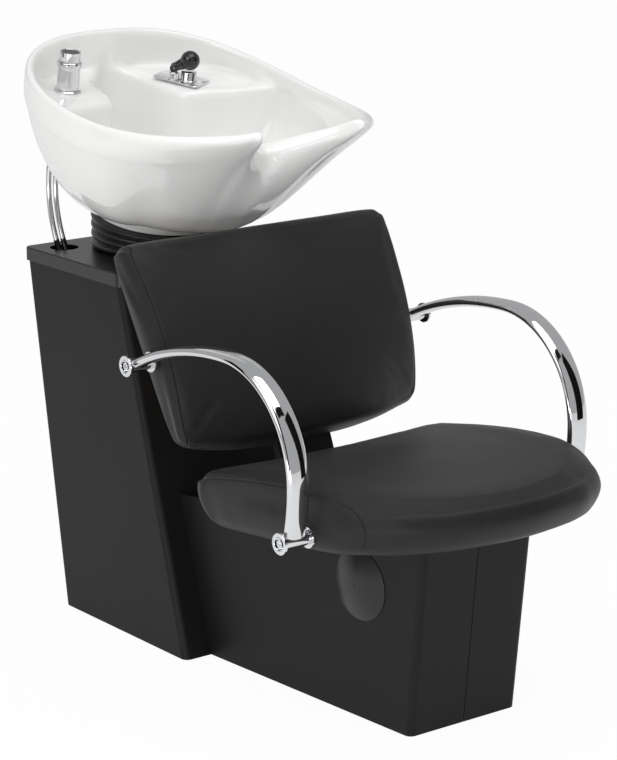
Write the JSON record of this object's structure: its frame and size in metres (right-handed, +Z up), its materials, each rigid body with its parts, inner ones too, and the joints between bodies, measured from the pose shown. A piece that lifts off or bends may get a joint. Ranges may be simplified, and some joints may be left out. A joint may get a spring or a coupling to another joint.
{
  "type": "salon backwash unit",
  "caption": "Salon backwash unit with a tilting ceramic shampoo bowl on a steel tower, an upholstered seat with a leaning backrest, chromed arms, a lever mixer and a hand spray.",
  "frame": {"origin": "on the floor, on the centre line, where the tower's front meets the base", "axes": "+X across the unit, to the right when it is seen from the front, -Y the way the sitter faces, +Z up"},
  "size_m": [0.635, 1.1962, 1.0103],
  "materials": {
    "zinc_steel": "satin",
    "black_steel": "satin",
    "black_plastic": "satin",
    "board": "matte",
    "black_cover": "satin",
    "chrome": "polished",
    "black_rubber": "satin",
    "white_glaze": "gloss",
    "black_gloss": "gloss"
  },
  "bodies": {
    "unit": {"floor_frame": "zinc_steel", "tower_shell": "black_steel", "tower_lid": "black_plastic", "service_panel": "black_steel", "panel_screws": "zinc_steel", "left_base_shell": "black_steel", "right_base_shell": "black_steel", "base_posts": "zinc_steel", "base_top": "black_steel", "left_cap": "black_plastic", "right_cap": "black_plastic", "back_upright": "black_steel", "upright_bolts": "zinc_steel", "seat_board": "board", "seat_cushion": "black_cover", "back_board": "board", "back_cushion": "black_cover", "left_arm": "chrome", "right_arm": "chrome", "arm_screws": "chrome", "arm_washers": "chrome", "tilt_bracket": "black_steel", "bracket_screws": "zinc_steel", "pivot_bolts": "zinc_steel", "pivot_nuts": "zinc_steel", "friction_discs": "black_rubber", "bellows": "black_rubber", "waste_hose": "black_rubber", "waste_pipe": "zinc_steel"},
    "bowl": {"tilt_yoke": "black_steel", "bowl_gasket": "black_rubber", "bowl": "white_glaze", "waste_fitting": "chrome", "waste_nut": "zinc_steel", "strainer": "chrome", "supply_tails": "chrome", "tail_nuts": "zinc_steel", "mixer_plate": "chrome", "vacuum_breaker": "chrome", "spray_holder": "chrome"},
    "turret": {"mixer_turret": "chrome", "lever_pin": "zinc_steel"},
    "lever": {"lever_neck": "black_gloss", "lever_ball": "black_gloss"},
    "spray": {"spray_body": "chrome", "spray_head": "chrome", "spray_face": "black_gloss"}
  },
  "joints": [
    {"name": "bowl_tilt", "type": "hinge", "parent": "unit", "child": "bowl", "pos_m": [0, 0.343, 0.672], "axis": [1, 0, 0], "range_deg": [-15, 3], "deforming": ["bellows", "waste_hose"]},
    {"name": "mixer_turn", "type": "hinge", "parent": "bowl", "child": "turret", "pos_m": [0.08657, 0.41554, 0.92546], "axis": [0, -0.1822, 0.9833], "range_deg": [-45, 45]},
    {"name": "lever_lift", "type": "hinge", "parent": "turret", "child": "lever", "pos_m": [0.08657, 0.41171, 0.94611], "axis": [-0.6428, -0.7532, -0.1396], "range_deg": [0, 25]},
    {"name": "spray_lift", "type": "slide", "parent": "bowl", "child": "spray", "axis": [0, -0.1822, 0.9833], "range_m": [0, 0.15]}
  ]
}
